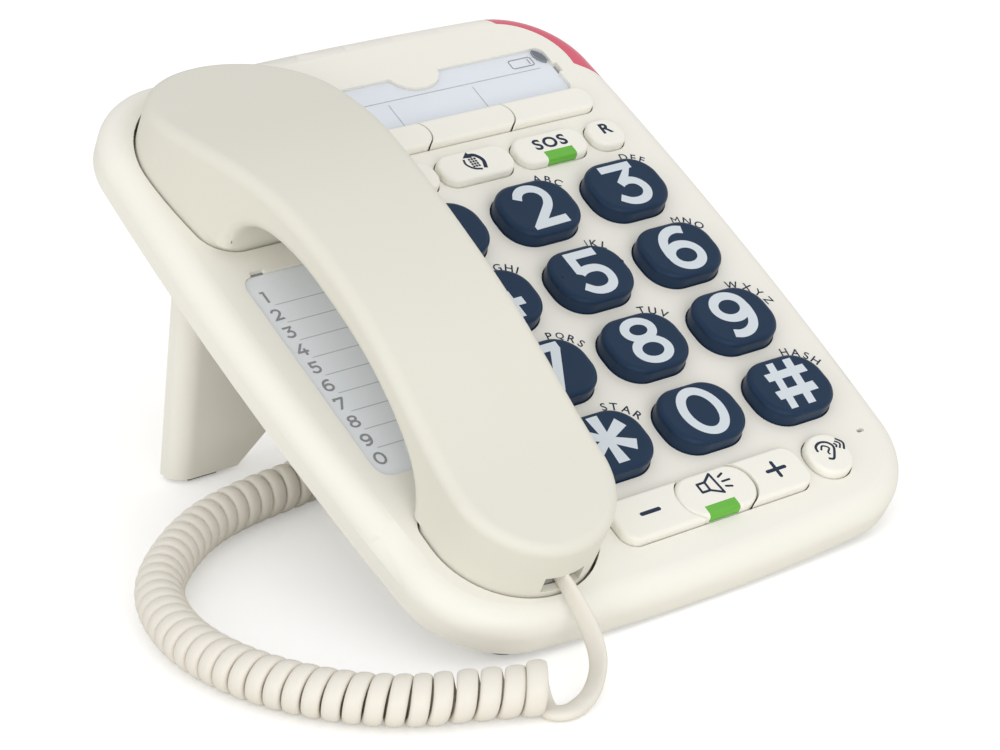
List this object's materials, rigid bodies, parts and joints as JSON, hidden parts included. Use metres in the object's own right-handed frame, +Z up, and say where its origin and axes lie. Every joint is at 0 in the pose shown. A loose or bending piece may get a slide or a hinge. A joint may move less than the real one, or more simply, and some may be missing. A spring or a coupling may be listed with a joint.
{
  "type": "corded telephone",
  "caption": "Corded desk telephone with large keys, a lift-off handset beside the keypad, a curly cord and a sloping stand.",
  "frame": {"origin": "centre of the base's footprint, on the desk", "axes": "+Z up, -Y towards the user and the low front edge, +X to the user's right"},
  "size_m": [0.2337, 0.23, 0.1198],
  "materials": {
    "ivory_case": "fine satin",
    "handset_ivory": "fine satin",
    "key_navy": "matt",
    "ivory_key": "fine satin",
    "foot_rubber": "matt",
    "mat_rubber": "matt",
    "red_lens": "clear and glossy",
    "green_lens": "glossy",
    "light_smoke": "glossy",
    "clear_cover": "clear and glossy",
    "label_paper": "printed",
    "index_paper": "printed",
    "board": "solder mask",
    "capsule_black": "matt",
    "spring_steel": "bright",
    "jack_white": "satin",
    "jack_black": "satin",
    "clear_plug": "clear and glossy",
    "cell_jacket": "printed film",
    "cord_sheath": "satin"
  },
  "bodies": {
    "base": {"upper_case": "ivory_case", "lower_case": "ivory_case", "desk_stand": "ivory_case", "stand_foot_pads": "foot_rubber", "front_feet": "foot_rubber", "ring_indicator_lens": "red_lens", "label_paper": "label_paper", "label_window": "clear_cover", "battery_light": "light_smoke", "index_card": "index_paper", "index_cover": "clear_cover", "keypad_mat": "mat_rubber", "main_board": "board", "ring_light_board": "board", "loudspeaker": "capsule_black", "base_microphone": "capsule_black", "hook_spring": "spring_steel", "case_screws": "spring_steel", "line_jack": "jack_black", "base_cord_jack": "jack_white", "base_plug": "clear_plug", "batteries": "cell_jacket", "cord_coil": "cord_sheath", "base_lead": "cord_sheath", "handset_lead": "cord_sheath"},
    "handset": {"handset_upper_shell": "handset_ivory", "handset_lower_shell": "handset_ivory", "earpiece_capsule": "capsule_black", "handset_microphone": "capsule_black", "handset_ballast": "spring_steel", "handset_jack": "jack_white", "handset_plug": "clear_plug", "handset_screws": "spring_steel"},
    "hook": {"hook_plunger": "ivory_case"},
    "battery_door": {"battery_door": "ivory_case"},
    "key_1": {"key_1": "key_navy"},
    "key_2": {"key_2": "key_navy"},
    "key_3": {"key_3": "key_navy"},
    "key_4": {"key_4": "key_navy"},
    "key_5": {"key_5": "key_navy"},
    "key_6": {"key_6": "key_navy"},
    "key_7": {"key_7": "key_navy"},
    "key_8": {"key_8": "key_navy"},
    "key_9": {"key_9": "key_navy"},
    "key_star": {"key_star": "key_navy"},
    "key_0": {"key_0": "key_navy"},
    "key_hash": {"key_hash": "key_navy"},
    "memory_key_left": {"memory_key_left": "ivory_key"},
    "memory_key_middle": {"memory_key_middle": "ivory_key"},
    "memory_key_right": {"memory_key_right": "ivory_key"},
    "mute_key": {"mute_key": "ivory_key"},
    "redial_key": {"redial_key": "ivory_key"},
    "sos_key": {"sos_key": "ivory_key", "sos_light": "green_lens"},
    "recall_key": {"recall_key": "ivory_key"},
    "minus_key": {"minus_key": "ivory_key"},
    "speaker_key": {"speaker_key": "ivory_key", "speaker_light": "green_lens"},
    "plus_key": {"plus_key": "ivory_key"},
    "amplify_key": {"amplify_key": "ivory_key"}
  },
  "joints": [
    {"name": "handset_lift", "type": "slide", "parent": "base", "child": "handset", "axis": [0, -0.4639, 0.8859], "range_m": [0, 0.06], "deforming": ["handset_lead"]},
    {"name": "hook_rise", "type": "slide", "parent": "base", "child": "hook", "axis": [0, -0.4639, 0.8859], "range_m": [0, 0.004], "deforming": ["hook_spring"]},
    {"name": "battery_door_lift_off", "type": "slide", "parent": "base", "child": "battery_door", "axis": [0, 0.4639, -0.8859], "range_m": [0, 0.02]},
    {"name": "key_1_press", "type": "slide", "parent": "base", "child": "key_1", "axis": [0, 0.4639, -0.8859], "range_m": [0, 0.0016], "stiffness_N_per_m": 450, "springref_m": -0.001},
    {"name": "key_2_press", "type": "slide", "parent": "base", "child": "key_2", "axis": [0, 0.4639, -0.8859], "range_m": [0, 0.0016], "stiffness_N_per_m": 450, "springref_m": -0.001},
    {"name": "key_3_press", "type": "slide", "parent": "base", "child": "key_3", "axis": [0, 0.4639, -0.8859], "range_m": [0, 0.0016], "stiffness_N_per_m": 450, "springref_m": -0.001},
    {"name": "key_4_press", "type": "slide", "parent": "base", "child": "key_4", "axis": [0, 0.4639, -0.8859], "range_m": [0, 0.0016], "stiffness_N_per_m": 450, "springref_m": -0.001},
    {"name": "key_5_press", "type": "slide", "parent": "base", "child": "key_5", "axis": [0, 0.4639, -0.8859], "range_m": [0, 0.0016], "stiffness_N_per_m": 450, "springref_m": -0.001},
    {"name": "key_6_press", "type": "slide", "parent": "base", "child": "key_6", "axis": [0, 0.4639, -0.8859], "range_m": [0, 0.0016], "stiffness_N_per_m": 450, "springref_m": -0.001},
    {"name": "key_7_press", "type": "slide", "parent": "base", "child": "key_7", "axis": [0, 0.4639, -0.8859], "range_m": [0, 0.0016], "stiffness_N_per_m": 450, "springref_m": -0.001},
    {"name": "key_8_press", "type": "slide", "parent": "base", "child": "key_8", "axis": [0, 0.4639, -0.8859], "range_m": [0, 0.0016], "stiffness_N_per_m": 450, "springref_m": -0.001},
    {"name": "key_9_press", "type": "slide", "parent": "base", "child": "key_9", "axis": [0, 0.4639, -0.8859], "range_m": [0, 0.0016], "stiffness_N_per_m": 450, "springref_m": -0.001},
    {"name": "key_star_press", "type": "slide", "parent": "base", "child": "key_star", "axis": [0, 0.4639, -0.8859], "range_m": [0, 0.0016], "stiffness_N_per_m": 450, "springref_m": -0.001},
    {"name": "key_0_press", "type": "slide", "parent": "base", "child": "key_0", "axis": [0, 0.4639, -0.8859], "range_m": [0, 0.0016], "stiffness_N_per_m": 450, "springref_m": -0.001},
    {"name": "key_hash_press", "type": "slide", "parent": "base", "child": "key_hash", "axis": [0, 0.4639, -0.8859], "range_m": [0, 0.0016], "stiffness_N_per_m": 450, "springref_m": -0.001},
    {"name": "memory_key_left_press", "type": "slide", "parent": "base", "child": "memory_key_left", "axis": [0, 0.4639, -0.8859], "range_m": [0, 0.0012], "stiffness_N_per_m": 450, "springref_m": -0.001},
    {"name": "memory_key_middle_press", "type": "slide", "parent": "base", "child": "memory_key_middle", "axis": [0, 0.4639, -0.8859], "range_m": [0, 0.0012], "stiffness_N_per_m": 450, "springref_m": -0.001},
    {"name": "memory_key_right_press", "type": "slide", "parent": "base", "child": "memory_key_right", "axis": [0, 0.4639, -0.8859], "range_m": [0, 0.0012], "stiffness_N_per_m": 450, "springref_m": -0.001},
    {"name": "mute_key_press", "type": "slide", "parent": "base", "child": "mute_key", "axis": [0, 0.4639, -0.8859], "range_m": [0, 0.0012], "stiffness_N_per_m": 450, "springref_m": -0.001},
    {"name": "redial_key_press", "type": "slide", "parent": "base", "child": "redial_key", "axis": [0, 0.4639, -0.8859], "range_m": [0, 0.0012], "stiffness_N_per_m": 450, "springref_m": -0.001},
    {"name": "sos_key_press", "type": "slide", "parent": "base", "child": "sos_key", "axis": [0, 0.4639, -0.8859], "range_m": [0, 0.0012], "stiffness_N_per_m": 450, "springref_m": -0.001},
    {"name": "recall_key_press", "type": "slide", "parent": "base", "child": "recall_key", "axis": [0, 0.4639, -0.8859], "range_m": [0, 0.0012], "stiffness_N_per_m": 450, "springref_m": -0.001},
    {"name": "minus_key_press", "type": "slide", "parent": "base", "child": "minus_key", "axis": [0, 0.4639, -0.8859], "range_m": [0, 0.0012], "stiffness_N_per_m": 450, "springref_m": -0.001},
    {"name": "speaker_key_press", "type": "slide", "parent": "base", "child": "speaker_key", "axis": [0, 0.4639, -0.8859], "range_m": [0, 0.0012], "stiffness_N_per_m": 450, "springref_m": -0.001},
    {"name": "plus_key_press", "type": "slide", "parent": "base", "child": "plus_key", "axis": [0, 0.4639, -0.8859], "range_m": [0, 0.0012], "stiffness_N_per_m": 450, "springref_m": -0.001},
    {"name": "amplify_key_press", "type": "slide", "parent": "base", "child": "amplify_key", "axis": [0, 0.4639, -0.8859], "range_m": [0, 0.0012], "stiffness_N_per_m": 450, "springref_m": -0.001}
  ],
  "couplings": [
    {"joint": "hook_rise", "follows": "handset_lift", "ratio": 0.066667}
  ]
}
